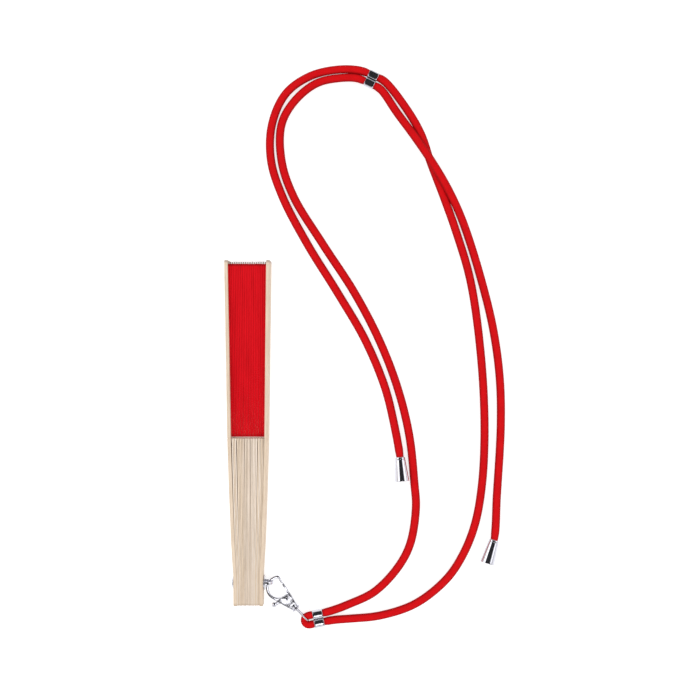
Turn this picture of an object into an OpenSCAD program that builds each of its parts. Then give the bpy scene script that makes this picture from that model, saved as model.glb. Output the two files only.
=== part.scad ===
// Folding hand fan with a pleated fabric leaf, clipped to a cord neck lanyard.
// The closed fan lies on the straight back edges of its sticks: X crosses the stack,
// Y runs from the rivet towards the stick tips, and Z is up.

/* [Sticks] */
// Length of a guard from the rivet to its tip
tip_r = 217.5; // [200:0.5:220]
// Length of the tail behind the rivet
tail_r = 15.5; // [13:0.5:16]
// Half height of the closed fan at the rivet
pivot_half_h = 5.5; // [5.2:0.1:5.8]
// Angle between a guard's edge and its centre line, in degrees
edge_taper = 1.23; // [1.1:0.01:1.3]
// Thickness of a guard
guard_t = 2.4; // [2:0.1:2.6]
// Thickness of a rib at the rivet
rib_pivot_t = 0.68; // [0.6:0.01:0.7]
// Thickness of a rib in the open gorge
rib_t = 0.88; // [0.7:0.01:0.9]
// Thickness of a rib behind the leaf
slip_t = 0.5; // [0.4:0.05:0.55]
// Half the space between the guards at the rivet
stack_half_pivot = 7.6; // [7.6:0.05:7.8]
// Half the space between the guards at the lower edge of the leaf
stack_half_leaf = 11.2; // [11.1:0.1:11.4]
// Half the space between the guards at their tips
stack_half_tip = 12.7; // [12.5:0.1:13]

/* [Leaf] */
// Distance from the rivet to the leaf's lower edge
leaf_r0 = 98.5; // [97.5:0.5:102]
// Distance from the rivet to the leaf's upper edge
leaf_r1 = 215; // [205:0.5:215]
// Thickness of one folded pleat
leaf_t = 0.25; // [0.2:0.05:0.3]
// Angle from guard to guard when the fan is open, in degrees
open_angle = 170; // [150:5:175]

/* [Rivet] */
// Radius of the rivet's pin
pin_r = 1.5; // [1.2:0.1:1.6]
// Inner radius of the loop on the rivet's right end
loop_r = 4.5; // [4.4:0.1:4.5]
// Half the width of the loop's band
loop_half_w = 1; // [0.8:0.1:1]

/* [Lanyard] */
// Width of the flattened cord
cord_w = 4.8; // [4:0.1:4.9]
// Height of the flattened cord
cord_h = 3.6; // [3:0.1:3.6]
// Outer radius of one tube of a slider
slider_r = 3; // [3:0.05:3.1]
// Length of a slider
slider_len = 6.8; // [6:0.1:7.2]
// Length of a cord end cap
cap_len = 16.5; // [15:0.5:17]

/* [Hidden] */
rib_count = 20;
function two_digits(i) = str(i < 10 ? "0" : "", i);
RIBS = [for (i = [1:rib_count]) str("rib_", two_digits(i))];
LEAVES = [for (i = [0:rib_count]) str("leaf_", two_digits(i))];

wood = [0.88, 0.80, 0.70];
red = [0.80, 0.05, 0.09];
steel = [0.82, 0.82, 0.86];

round_fn = 48;
running_gap = 0.05;
far = 60; // longer than any solid that it cuts or is cut from

// ---- how the stack spreads from the rivet to the tips ----
flare_from = 5.5;
spread_from = 27;
bunch_from = 62;
bunch_to = 92;
spread_to = 98;
stations = [-tail_r - 1, flare_from, spread_from, bunch_from, bunch_to, spread_to, tip_r + 1];

function stack_half(r) = r < flare_from ? stack_half_pivot
    : lookup(r, [
        [flare_from, stack_half_pivot],
        [spread_from, 0.64 * stack_half_pivot + 0.36 * stack_half_leaf],
        [bunch_from, 0.29 * stack_half_pivot + 0.71 * stack_half_leaf],
        [spread_to, stack_half_leaf],
        [leaf_r1, stack_half_tip],
        [tip_r + 1, stack_half_tip + 0.05]
    ]);
function rib_thick(r) = lookup(r, [
    [flare_from, rib_pivot_t], [bunch_from, rib_t], [bunch_to, rib_t], [spread_to, slip_t]
]);
function pitch(r) = (stack_half(r) + rib_thick(r) / 2) / ((rib_count + 1) / 2);
// The ribs lie in bunches of 3, 5, 4, 4 and 4 across the gorge: the share of the free
// space in the gap before each rib, and after the last one.
gap_shares = [4, 1, 1, 4, 1, 1, 1, 1, 2, 1, 1, 1, 3, 1, 1, 1, 3, 1, 1, 1, 2];
function total(v, count) = count == 0 ? 0 : v[count - 1] + total(v, count - 1);
function bunch_amount(r) = lookup(r, [[spread_from, 0], [bunch_from, 1], [bunch_to, 1], [spread_to, 0]]);
function free_share(i) = total(gap_shares, i) / total(gap_shares, rib_count + 1) - i / (rib_count + 1);
function bunch_shift(i, r) = i < 1 || i > rib_count ? 0
    : bunch_amount(r) * free_share(i) * (2 * stack_half(r) - rib_count * rib_thick(r));
function stick_x(i, r) = (i - (rib_count + 1) / 2) * pitch(r) + bunch_shift(i, r);

// ---- frame: the origin is under the middle of the fan's own box ----
pin_z = pivot_half_h * cos(edge_taper);
corner = 1.6;
function half_h(r) = pivot_half_h + r * tan(edge_taper);
washer_t = 0.3;
disc_t = 0.8;
loop_t = 0.6;
stack_outer = stack_half_pivot + guard_t;
washer_x = stack_outer + running_gap;
disc_x = washer_x + washer_t + running_gap;
loop_centre_x = disc_x + disc_t + 0.5;
box_right = loop_centre_x + loop_r + loop_t;
box_left = -(stack_half(tip_r) + guard_t);
box_back = -tail_r * cos(edge_taper) - (half_h(-tail_r) - corner) * sin(edge_taper);
box_front = tip_r * cos(edge_taper) + (half_h(tip_r) - corner) * sin(edge_taper);
origin_x = (box_left + box_right) / 2;
origin_y = (box_back + box_front) / 2;

module from_rivet() {
    translate([-origin_x, -origin_y, 0]) children();
}

// A stick's own frame: the rivet's axis is X and the stick's centre line is Y.
module stick_frame() {
    from_rivet() translate([0, 0, pin_z]) rotate([edge_taper, 0, 0]) children();
}

// ---- the two outlines that a stick is cut from ----
// A strip seen from above, bent at the stations, between two offsets from a centre line.
module strip(centres, low, high) {
    n = len(stations) - 1;
    left = [for (k = [0:n]) [centres[k] + low[k], stations[k]]];
    right = [for (k = [n:-1:0]) [centres[k] + high[k], stations[k]]];
    linear_extrude(height = far, center = true) polygon(concat(left, right));
}

// An outline seen from the side, with the stick's length along the first axis.
module side_plate(points) {
    translate([-far / 2, 0, 0]) rotate([90, 0, 90]) linear_extrude(height = far) polygon(points);
}

function mirrored(points) = concat(
    points,
    [for (k = [len(points) - 1:-1:0]) [points[k][0], -points[k][1]]]
);

module stick_bore() {
    rotate([0, 90, 0]) cylinder(h = far, r = pin_r + running_gap, center = true, $fn = round_fn);
}

// ---- sticks ----
module guard(side) {
    inner = [for (r = stations) side * stack_half(r)];
    flat = [for (r = stations) 0];
    thick = [for (r = stations) side * guard_t];
    outline = [
        [-tail_r, half_h(-tail_r) - corner],
        [-tail_r + corner, half_h(-tail_r + corner)],
        [tip_r - corner, half_h(tip_r - corner)],
        [tip_r, half_h(tip_r) - corner]
    ];
    color(wood) stick_frame() difference() {
        intersection() {
            strip(inner, flat, thick);
            side_plate(mirrored(outline));
        }
        stick_bore();
    }
}

rib_edge_inset = 0.25;
slip_half_h = 2.6;
slip_tip_half_h = 1.6;
rib_tip_r = tip_r - 0.6;
module rib(i) {
    thick = [for (r = stations) rib_thick(r) / 2];
    outline = [
        [-tail_r + 0.3, half_h(-tail_r) - rib_edge_inset - corner],
        [-tail_r + 0.3 + corner, half_h(-tail_r + corner) - rib_edge_inset],
        [bunch_from, half_h(bunch_from) - rib_edge_inset],
        [bunch_to, half_h(bunch_to) - rib_edge_inset - 1.2],
        [spread_to, slip_half_h],
        [rib_tip_r - 1, slip_tip_half_h],
        [rib_tip_r, slip_tip_half_h - 0.7]
    ];
    color(wood) stick_frame() difference() {
        intersection() {
            strip([for (r = stations) stick_x(i, r)], -thick, thick);
            side_plate(mirrored(outline));
        }
        stick_bore();
    }
}

// ---- leaf: one closed pleat in the gap after each stick, glued to that stick ----
panel_angle = open_angle / (2 * (rib_count + 1));
module leaf(i) {
    half = leaf_t / 2;
    thick = [for (r = stations) half];
    outline = [
        [leaf_r0, leaf_r0 * tan(panel_angle / 2)],
        [leaf_r1, leaf_r1 * tan(panel_angle / 2)]
    ];
    color(red) stick_frame() intersection() {
        strip([for (r = stations) (stick_x(i, r) + stick_x(i + 1, r)) / 2], -thick, thick);
        side_plate(mirrored(outline));
    }
}

// ---- rivet ----
module along_rivet(x) {
    from_rivet() translate([x, 0, pin_z]) rotate([0, 90, 0]) children();
}

head_r = 3.9;
head_h = 1;
washer_r = 4.6;
module rivet_pin() {
    color(steel) along_rivet(-disc_x) cylinder(h = 2 * disc_x, r = pin_r, $fn = round_fn);
}

// A low domed cap, turned from its half section.
module rivet_head() {
    profile = [[0, 0], [head_r, 0], [head_r, 0.3], [head_r - 0.7, 0.75], [1.8, head_h - 0.05], [0, head_h]];
    color(steel) along_rivet(-disc_x) rotate([180, 0, 0]) rotate_extrude($fn = round_fn) polygon(profile);
}

module washer(x) {
    color(steel) along_rivet(x) difference() {
        cylinder(h = washer_t, r = washer_r, $fn = round_fn);
        translate([0, 0, -1]) cylinder(h = 3, r = pin_r + running_gap, $fn = round_fn);
    }
}

// A round base disc that carries an upright half loop of flat band.
module rivet_loop() {
    outer = loop_r + loop_t;
    leg = loop_centre_x - disc_x;
    color(steel) {
        along_rivet(disc_x) cylinder(h = disc_t, r = outer, $fn = 64);
        from_rivet() translate([loop_centre_x, 0, pin_z]) rotate([90, 0, 0]) {
            translate([0, 0, -loop_half_w]) intersection() {
                difference() {
                    cylinder(h = 2 * loop_half_w, r = outer, $fn = 64);
                    translate([0, 0, -1]) cylinder(h = 5, r = loop_r, $fn = 64);
                }
                translate([0, -far, -1]) cube([far, 2 * far, 5]);
            }
            for (s = [-1, 1])
                translate([-leg / 2 + disc_t / 4, s * (loop_r + loop_t / 2), 0])
                    cube([leg - disc_t / 2, loop_t, 2 * loop_half_w], center = true);
        }
    }
}

// ---- clasp: its own frame has X from the swivel to the hook and Y to the thumb side ----
clasp_base = [31.2, -17.4, 3.95];
clasp_heading = 135;
clasp_pitch = 4.15;
plate_t = 3;
hook_t = 2.2;
hook_c = [17.3, -1.8];
hook_outer = 8.6;
hook_inner = 6.7;
gate_slope = -13.5;
base_half = 2.4;
gate_pivot = [7.9, -0.2];
bar_w = 1.5;
bar_from = 9;
bar_to = 17.8;
slot_half_t = 0.6;
lever_t = 0.9;
knob_c = [11.2, 8.6];
gate_pin_r = 0.8;
collar_r = 2.3;
post_r = 0.8;
post_head_r = 1.2;

module clasp_frame() {
    from_rivet() translate(clasp_base) rotate([0, -clasp_pitch, clasp_heading]) children();
}

// The half plane on the hook's side of the gate line, moved in by an inset.
module inside_gate_line(inset) {
    translate([0, -base_half]) rotate(gate_slope) translate([-5, inset]) square([40, 30]);
}

module gate_bar(from, to, inset, width) {
    translate([0, -base_half]) rotate(gate_slope) translate([from, inset]) square([to - from, width]);
}

// The space that the gate's bar fills and swings through, slanted where it leaves the hook's nose.
module gate_bar_space() {
    nose = bar_to + 0.15;
    translate([0, -base_half]) rotate(gate_slope) polygon([
        [bar_from - 0.1, -1], [nose - 0.4, -1],
        [nose + 0.4 * (bar_w + 0.1), bar_w + 0.1], [bar_from - 0.1, bar_w + 0.1]
    ]);
}

module clasp_outline() {
    intersection() {
        union() {
            translate(hook_c) circle(r = hook_outer, $fn = 64);
            polygon([[0, -base_half], [0, base_half], [15.2, 6.55], hook_c, [17.3, -6.5]]);
        }
        inside_gate_line(0);
    }
}

module clasp_opening() {
    intersection() {
        translate(hook_c) circle(r = hook_inner, $fn = 64);
        inside_gate_line(bar_w + 0.1);
    }
}

module clasp_body() {
    color(steel) clasp_frame() difference() {
        union() {
            translate([0, 0, -plate_t / 2]) linear_extrude(height = plate_t) intersection() {
                clasp_outline();
                translate([-1, -20]) square([13, 40]);
            }
            translate([0, 0, -hook_t / 2]) linear_extrude(height = hook_t) intersection() {
                clasp_outline();
                translate([11.5, -20]) square([30, 40]);
            }
            translate([-0.2, 0, 0]) rotate([0, 90, 0]) cylinder(h = 2.6, r = collar_r, $fn = round_fn);
        }
        translate([0, 0, -5]) linear_extrude(height = 10) {
            clasp_opening();
            gate_bar_space();
        }
        translate([4.2, -12, -slot_half_t]) cube([7.8, 24, 2 * slot_half_t]);
        translate([gate_pivot[0], gate_pivot[1], -5])
            cylinder(h = 10, r = gate_pin_r + 0.02, $fn = round_fn);
        translate([-1, 0, 0]) rotate([0, 90, 0]) cylinder(h = 3, r = post_r + running_gap, $fn = round_fn);
        translate([1, 0, 0]) rotate([0, 90, 0])
            cylinder(h = 1.3, r = post_head_r + running_gap, $fn = round_fn);
    }
}

module clasp_gate() {
    color(steel) clasp_frame() difference() {
        union() {
            translate([0, 0, -lever_t / 2]) linear_extrude(height = lever_t) {
                gate_bar(bar_from, bar_to, 0, bar_w);
                translate(gate_pivot) circle(r = 2, $fn = round_fn);
                polygon([[6.6, -1.7], [9.4, -1], [10.6, -3.6], [9, -4.3]]);
                polygon([[6.4, 1], [8.8, -1.6], [12.1, 7.6], [10.3, 8.6]]);
            }
            translate([0, 0, -hook_t / 2]) linear_extrude(height = hook_t)
                gate_bar(bar_from + 3.2, bar_to, 0, bar_w);
            translate([knob_c[0], knob_c[1], -1.3]) cylinder(h = 2.6, r = 1.7, $fn = round_fn);
        }
        translate([gate_pivot[0], gate_pivot[1], -5])
            cylinder(h = 10, r = gate_pin_r + running_gap, $fn = round_fn);
    }
}

module gate_pin() {
    color(steel) clasp_frame() translate([gate_pivot[0], gate_pivot[1], -plate_t / 2])
        cylinder(h = plate_t, r = gate_pin_r, $fn = round_fn);
}

// A small bent leaf that presses on the round heel of the gate's lever.
module gate_spring() {
    color(steel) clasp_frame() translate([0, 0, -0.4]) linear_extrude(height = 0.8)
        polygon([[4.3, -1.6], [4.7, -1.6], [5.6, -0.2], [4.7, 1.2], [4.3, 1.2], [5.1, -0.2]]);
}

// ---- swivel: a post that turns in the clasp's collar and a long wire eye round the cord ----
eye_half_h = 2.42;
eye_wire_r = 0.52;
eye_end_x = -10.4;
crown_x = -0.4;
crown_t = 1.1;
crown_r = 3.1;
module swivel_eye() {
    color(steel) clasp_frame() {
        translate([crown_x - 0.5, 0, 0]) rotate([0, 90, 0])
            cylinder(h = 1.8 - crown_x, r = post_r, $fn = round_fn);
        translate([1.15, 0, 0]) rotate([0, 90, 0]) cylinder(h = 0.9, r = post_head_r, $fn = round_fn);
        translate([crown_x - crown_t, 0, 0]) rotate([0, 90, 0])
            cylinder(h = crown_t, r = crown_r, $fn = round_fn);
        for (s = [-1, 1])
            translate([eye_end_x, 0, s * eye_half_h]) rotate([0, 90, 0])
                cylinder(h = crown_x - 0.3 - eye_end_x, r = eye_wire_r, $fn = 24);
        translate([eye_end_x, 0, 0]) rotate([-90, 0, 0]) rotate([0, 0, 90])
            rotate_extrude(angle = 180, $fn = 48) translate([eye_half_h, 0]) circle(r = eye_wire_r, $fn = 24);
    }
}

// ---- lanyard cord: two strands of one cord, from its middle in the swivel's eye ----
lie = cord_h / 2 + 0.1;
tube_z = slider_r;
strand_a_route = [
    [37, -27, 3.2], [37.6, -24.6, 3.2], [39.8, -23.2, 3.1], [43, -22.8, 3],
    [46.6, -22.2, tube_z], [51, -21.3, tube_z], [57.5, -19.6, 2.4], [68.5, -15.5, lie],
    [85, -7.5, lie], [101, 9, lie], [109.5, 25, lie], [113.5, 50, lie], [112.5, 66, lie],
    [109, 99, lie], [101, 131.5, lie], [88.5, 164, lie], [71.5, 196.5, lie],
    [50, 229.5, lie], [30, 262, lie], [22, 286, lie], [22, 311, lie], [31, 327, lie],
    [46, 339, lie], [62.5, 342.5, 2.2], [74, 342, tube_z], [81.9, 338.5, tube_z],
    [89, 335, tube_z], [100.5, 319, 2.2], [112, 303, 4], [123, 286.5, 5.8],
    [133.3, 270, 4.2], [141.5, 254, 2.4], [148, 237.5, lie], [158, 205, lie],
    [166, 172, lie], [170.5, 139, lie], [171.3, 107, lie], [168.6, 58, lie],
    [166.6, 28.2, 3.3], [162.5, 15.6, 4.5]
];
strand_b_route = [
    [37, -27, 3.2], [38.3, -29.1, 3.2], [40.8, -29.8, 3.1], [44, -28.7, 3],
    [47.8, -28, tube_z], [52, -27.1, tube_z], [59, -26.2, 2.4], [70, -25.5, lie],
    [89, -23.5, lie], [113, -15.5, lie], [134, 1, lie], [145, 17, lie], [153.5, 38, lie],
    [158.5, 66, lie], [160.2, 107, lie], [157.5, 156, lie], [150.5, 205, lie],
    [141, 237.5, lie], [132.3, 262, lie], [123, 286.5, lie], [117.5, 303, lie],
    [108.7, 319, lie], [91.5, 340.5, tube_z], [84.5, 343.7, tube_z], [77, 347, tube_z],
    [62.5, 348.3, 2.2], [42, 344, lie], [25, 332, lie], [15.5, 311, lie], [14.8, 286.5, lie],
    [22.5, 262, lie], [39.5, 229.5, lie], [60, 196.5, lie], [79, 164, lie], [92.5, 131.5, lie],
    [99, 105, lie], [102.6, 84.5, 3.3], [103.7, 71.2, 4.5]
];
cord_sides = 10;
function unit(v) = v / norm(v);
function heading(route, k) = unit(
    route[min(k + 1, len(route) - 1)] - route[max(k - 1, 0)]
);
function ring(p, along) =
    let (side = unit(cross([0, 0, 1], along)), up = cross(along, side))
    [for (j = [0:cord_sides - 1])
        p + side * cord_w / 2 * cos(360 * j / cord_sides) + up * cord_h / 2 * sin(360 * j / cord_sides)];

module tube(route) {
    n = len(route);
    points = [for (k = [0:n - 1]) each ring(route[k], heading(route, k))];
    walls = [for (k = [0:n - 2]) for (j = [0:cord_sides - 1])
        let (a = k * cord_sides + j, b = k * cord_sides + (j + 1) % cord_sides)
        each [[a, b + cord_sides, b], [a, a + cord_sides, b + cord_sides]]];
    first = [for (j = [0:cord_sides - 1]) j];
    last = [for (j = [cord_sides - 1:-1:0]) (n - 1) * cord_sides + j];
    color(red) from_rivet() polyhedron(points = points, faces = concat([first, last], walls));
}

// ---- sliders: two short tubes side by side, one for each strand ----
slider_bore_r = 2.6;
slider_pitch = 5.9;
module slider(place, angle) {
    color(steel) from_rivet() translate([place[0], place[1], slider_r]) rotate([0, 90, angle])
        translate([0, 0, -slider_len / 2]) difference() {
            union() {
                for (s = [-1, 1])
                    translate([0, s * slider_pitch / 2, 0]) cylinder(h = slider_len, r = slider_r, $fn = round_fn);
                translate([-1.8, -1.5, 0]) cube([3.6, 3, slider_len]);
            }
            for (s = [-1, 1])
                translate([0, s * slider_pitch / 2, -1])
                    cylinder(h = slider_len + 2, r = slider_bore_r, $fn = round_fn);
        }
}

// ---- end caps: hollow cones that lie on their sides, closed onto the cord at the mouth ----
cap_mouth_r = 3.3;
cap_open_r = 4.9;
cap_wall = 0.5;
cap_lean = atan((cap_open_r - cap_mouth_r) / cap_len);
module end_cap(mouth, angle) {
    color(steel) from_rivet() translate([mouth[0], mouth[1], cap_mouth_r * cos(cap_lean)])
        rotate([0, 90 - cap_lean, angle]) difference() {
            cylinder(h = cap_len, r1 = cap_mouth_r, r2 = cap_open_r, $fn = round_fn);
            translate([0, 0, -1]) cylinder(h = cap_len, r = slider_bore_r, $fn = round_fn);
            translate([0, 0, 4])
                cylinder(h = cap_len - 3.9, r1 = slider_bore_r, r2 = cap_open_r - cap_wall, $fn = round_fn);
        }
}

guard(-1);  // guard_left
guard(1);  // guard_right
for (i = [1:rib_count])
    rib(i);
for (i = [0:rib_count])
    leaf(i);
rivet_pin();
rivet_head();
washer(-washer_x - washer_t);  // washer_left
washer(washer_x);  // washer_right
rivet_loop();
clasp_body();
clasp_gate();
gate_pin();
gate_spring();
swivel_eye();
tube(strand_a_route);  // strand_a
tube(strand_b_route);  // strand_b
slider([47.2, -25.1], 11);  // lower_slider
slider([83.2, 341.1], -26);  // upper_slider
end_cap([166.6, 28.2], -108);  // end_cap_a
end_cap([102.6, 84.5], -85.3);  // end_cap_b
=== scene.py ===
"""Looks of the folding fan and its lanyard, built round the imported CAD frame."""

import math
import random

import bmesh
import bpy
from mathutils import Matrix, Vector


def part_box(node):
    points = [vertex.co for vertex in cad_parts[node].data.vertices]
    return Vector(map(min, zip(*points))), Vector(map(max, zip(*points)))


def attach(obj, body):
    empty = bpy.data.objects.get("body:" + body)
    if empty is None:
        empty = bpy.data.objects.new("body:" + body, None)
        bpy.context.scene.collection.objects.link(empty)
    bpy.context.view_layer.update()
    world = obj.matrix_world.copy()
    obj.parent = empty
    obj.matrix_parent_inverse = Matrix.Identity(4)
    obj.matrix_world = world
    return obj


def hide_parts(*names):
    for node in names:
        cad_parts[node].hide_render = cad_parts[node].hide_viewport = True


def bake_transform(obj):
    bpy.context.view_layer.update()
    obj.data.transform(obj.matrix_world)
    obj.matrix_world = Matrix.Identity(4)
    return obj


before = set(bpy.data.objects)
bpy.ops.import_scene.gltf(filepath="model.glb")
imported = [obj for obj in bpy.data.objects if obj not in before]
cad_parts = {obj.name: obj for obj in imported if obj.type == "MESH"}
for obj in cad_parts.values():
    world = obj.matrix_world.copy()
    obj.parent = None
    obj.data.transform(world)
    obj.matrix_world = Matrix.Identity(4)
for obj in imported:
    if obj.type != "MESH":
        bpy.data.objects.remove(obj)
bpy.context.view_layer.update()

MM = 0.001
random.seed(4)

# ---------------------------------------------------------------- the frame
pin_low, pin_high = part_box("rivet_pin")
left_low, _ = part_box("washer_left")
_, right_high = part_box("washer_right")
RIVET = Vector(
    (
        (left_low.x + right_high.x) / 2,
        (pin_low.y + pin_high.y) / 2,
        (pin_low.z + pin_high.z) / 2,
    )
)
# The object's own lengths are in mm. A radius r runs from the rivet along the sticks.
RIBS = 20
OPENING = 170
EDGE_TAPER = math.radians(1.23)
TIP_R, TAIL_R, GUARD_T = 217.5, 15.5, 2.4
RIVET_HALF_H = 5.5
LEAF_R0, LEAF_R1 = 98.5, 215.0
PANEL_HALF = math.radians(OPENING / 42 / 2)
STACK_HALF = [(5.5, 7.6), (27, 8.896), (62, 10.156), (98, 11.2), (215, 12.7), (218.5, 12.75)]
GORGE_T = 0.88
RIB_END_R = 98.3
SLAT_HALF = [(98.42, 2.6), (215.9, 1.6)]
BORE_R = 1.56
CORD_UV_R = 2.4

FROM_RIVET = Matrix.Translation((RIVET.x, RIVET.y, 0)) @ Matrix.Scale(MM, 4)
ALONG_RIVET = Matrix.Translation(RIVET) @ Matrix.Rotation(math.pi / 2, 4, "Y") @ Matrix.Scale(MM, 4)
STICK = Matrix.Translation(RIVET) @ Matrix.Rotation(EDGE_TAPER, 4, "X") @ Matrix.Scale(MM, 4)
CLASP = (
    FROM_RIVET
    @ Matrix.Translation((31.2, -17.4, 3.95))
    @ Matrix.Rotation(math.radians(135), 4, "Z")
    @ Matrix.Rotation(math.radians(-4.15), 4, "Y")
)


def lookup(r, table):
    """The table's value at r, straight between its entries and level beyond them."""
    if r <= table[0][0]:
        return table[0][1]
    for (r0, v0), (r1, v1) in zip(table, table[1:]):
        if r <= r1:
            return v0 + (v1 - v0) * (r - r0) / (r1 - r0)
    return table[-1][1]


def stack_half(r):
    """Half the space between the two guards."""
    return lookup(r, STACK_HALF)


def rib_thick(r):
    return lookup(r, [(5.5, 0.68), (62, GORGE_T), (92, GORGE_T), (98, 0.5)])


def pitch(r):
    """The distance from one stick to the next."""
    return (stack_half(r) + rib_thick(r) / 2) / ((RIBS + 1) / 2)


# The free space across the gorge, as shares of the gap before each rib and after the last one.
GAP_SHARES = [4, 1, 1, 4, 1, 1, 1, 1, 2, 1, 1, 1, 3, 1, 1, 1, 3, 1, 1, 1, 2]


def stick_x(i, r):
    """Where stick i lies across the stack. 0 is the left guard, RIBS + 1 the right one."""
    shift = 0
    if 1 <= i <= RIBS:
        amount = lookup(r, [(27, 0), (62, 1), (92, 1), (98, 0)])
        share = sum(GAP_SHARES[:i]) / sum(GAP_SHARES) - i / (RIBS + 1)
        shift = amount * share * (2 * stack_half(r) - RIBS * rib_thick(r))
    return (i - (RIBS + 1) / 2) * pitch(r) + shift


def half_h(r):
    """Half the height of a stick's broad side."""
    return RIVET_HALF_H + r * math.tan(EDGE_TAPER)


# ---------------------------------------------------------------- materials
WHITE = (1, 1, 1, 1)


def srgb(r, g, b):
    def lin(v):
        v /= 255
        return v / 12.92 if v <= 0.04045 else ((v + 0.055) / 1.055) ** 2.4

    return (lin(r), lin(g), lin(b), 1)


class Nodes:
    """A short way to write a material's node tree."""

    def __init__(self, name):
        self.material = bpy.data.materials.new(name)
        self.material.use_nodes = True
        self.tree = self.material.node_tree
        self.shader = self.tree.nodes["Principled BSDF"]
        self.object = self.tree.nodes.new("ShaderNodeTexCoord").outputs["Object"]

    def add(self, kind, inputs=None, **settings):
        n = self.tree.nodes.new(kind)
        for key, value in settings.items():
            setattr(n, key, value)
        for key, value in (inputs or {}).items():
            if isinstance(value, bpy.types.NodeSocket):
                self.tree.links.new(value, n.inputs[key])
            else:
                n.inputs[key].default_value = value
        return n

    def mapping(self, scale, vector=None, location=(0, 0, 0)):
        return self.add(
            "ShaderNodeMapping",
            {"Vector": vector or self.object, "Scale": scale, "Location": location},
        ).outputs[0]

    def noise(self, vector, scale, detail=3, rough=0.5):
        inputs = {"Vector": vector, "Scale": scale, "Detail": detail, "Roughness": rough}
        return self.add("ShaderNodeTexNoise", inputs).outputs["Fac"]

    def ramp(self, value, stops):
        n = self.add("ShaderNodeValToRGB", {"Fac": value})
        elements = n.color_ramp.elements
        while len(elements) < len(stops):
            elements.new(0.5)
        for element, (place, colour) in zip(elements, stops):
            element.position = place
            element.color = colour
        return n.outputs["Color"]

    def math(self, operation, a, b=0.0):
        return self.add("ShaderNodeMath", {0: a, 1: b}, operation=operation).outputs[0]

    def mix(self, fac, a, b, blend_type="MIX"):
        return self.add(
            "ShaderNodeMix", {0: fac, 6: a, 7: b}, data_type="RGBA", blend_type=blend_type
        ).outputs[2]

    def spread(self, value, low, high):
        return self.add("ShaderNodeMapRange", {0: value, 3: low, 4: high}).outputs[0]

    def bump(self, height, strength, distance):
        n = self.add(
            "ShaderNodeBump", {"Height": height, "Strength": strength, "Distance": distance}
        )
        self.tree.links.new(n.outputs[0], self.shader.inputs["Normal"])

    def set(self, **values):
        for key, value in values.items():
            socket = self.shader.inputs[key.replace("_", " ")]
            if isinstance(value, bpy.types.NodeSocket):
                self.tree.links.new(value, socket)
            else:
                socket.default_value = value


def wood(name, light, dark, offset, face=WHITE, tip_shade=(0.68, 0.66, 0.70, 1)):
    """Pale planed wood with its grain along Y, greyer at its tail end.

    face is painted shade darkening its broad sides, and the outer end's colour is painted shade at
    that end.
    """
    m = Nodes(name)
    v = m.mapping((1, 0.03, 1), location=(offset, offset, 0))
    fine = m.noise(m.mapping((1, 0.012, 1), location=(offset, 0, offset)), 5200, 4, 0.6)
    broad = m.noise(v, 900, 3, 0.55)
    pores = m.noise(m.mapping((1, 0.06, 1), location=(0, offset, 0)), 3300, 2, 0.7)
    colour = m.ramp(broad, [(0.32, dark), (0.68, light)])
    streaks = m.ramp(fine, [(0.36, (0.84, 0.80, 0.74, 1)), (0.56, WHITE)])
    colour = m.mix(0.6, colour, streaks, "MULTIPLY")
    specks = m.ramp(pores, [(0.27, (0.68, 0.58, 0.48, 1)), (0.36, WHITE)])
    colour = m.mix(0.5, colour, specks, "MULTIPLY")
    along = m.add("ShaderNodeSeparateXYZ", {0: m.object}).outputs["Y"]
    from_end = m.math("SUBTRACT", along, RIVET.y - TAIL_R * MM)
    tail = m.ramp(m.math("MULTIPLY", from_end, 250), [(0.0, (0.66, 0.60, 0.55, 1)), (0.55, WHITE)])
    colour = m.mix(0.8, colour, tail, "MULTIPLY")
    # Painted shade: the last few mm at the outer end are darkened where shadow falls between the
    # stick ends.
    from_tip = m.math("SUBTRACT", RIVET.y + TIP_R * MM, along)
    painted_tip_shade = m.ramp(m.math("MULTIPLY", from_tip, 250), [(0.3, tip_shade), (0.6, WHITE)])
    colour = m.mix(1.0, colour, painted_tip_shade, "MULTIPLY")
    # Painted shade: the broad sides are darkened, standing in for the shade between neighbouring
    # sticks.
    normal = m.add("ShaderNodeTexCoord").outputs["Normal"]
    across = m.add("ShaderNodeSeparateXYZ", {0: normal}).outputs["X"]
    sides = m.ramp(m.math("ABSOLUTE", across), [(0.6, WHITE), (0.9, face)])
    colour = m.mix(1.0, colour, sides, "MULTIPLY")
    m.set(Base_Color=colour, Roughness=m.spread(fine, 0.48, 0.66))
    m.set(Specular_IOR_Level=0.32)
    m.bump(m.math("ADD", fine, m.math("MULTIPLY", pores, 0.6)), 0.35, 0.00012)
    return m.material


GUARD_WOOD = wood("guard_wood", srgb(222, 204, 183), srgb(208, 188, 166), 0.013)
# Painted shade for the ribs: the first colour darkens their broad sides, the second their outer
# ends.
RIB_SIDE_SHADE, RIB_TIP_SHADE = (0.74, 0.68, 0.62, 1), (0.3, 0.27, 0.28, 1)
RIB_WOODS = [
    wood(f"rib_wood_{k}", srgb(*light), srgb(*dark), 0.031 * (k + 1), RIB_SIDE_SHADE, RIB_TIP_SHADE)
    for k, (light, dark) in enumerate(
        [
            ((233, 218, 202), (220, 202, 183)),
            ((226, 210, 192), (212, 193, 172)),
            ((235, 222, 209), (223, 208, 192)),
            ((222, 207, 192), (207, 189, 170)),
            ((231, 213, 192), (217, 197, 173)),
        ]
    )
]


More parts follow.
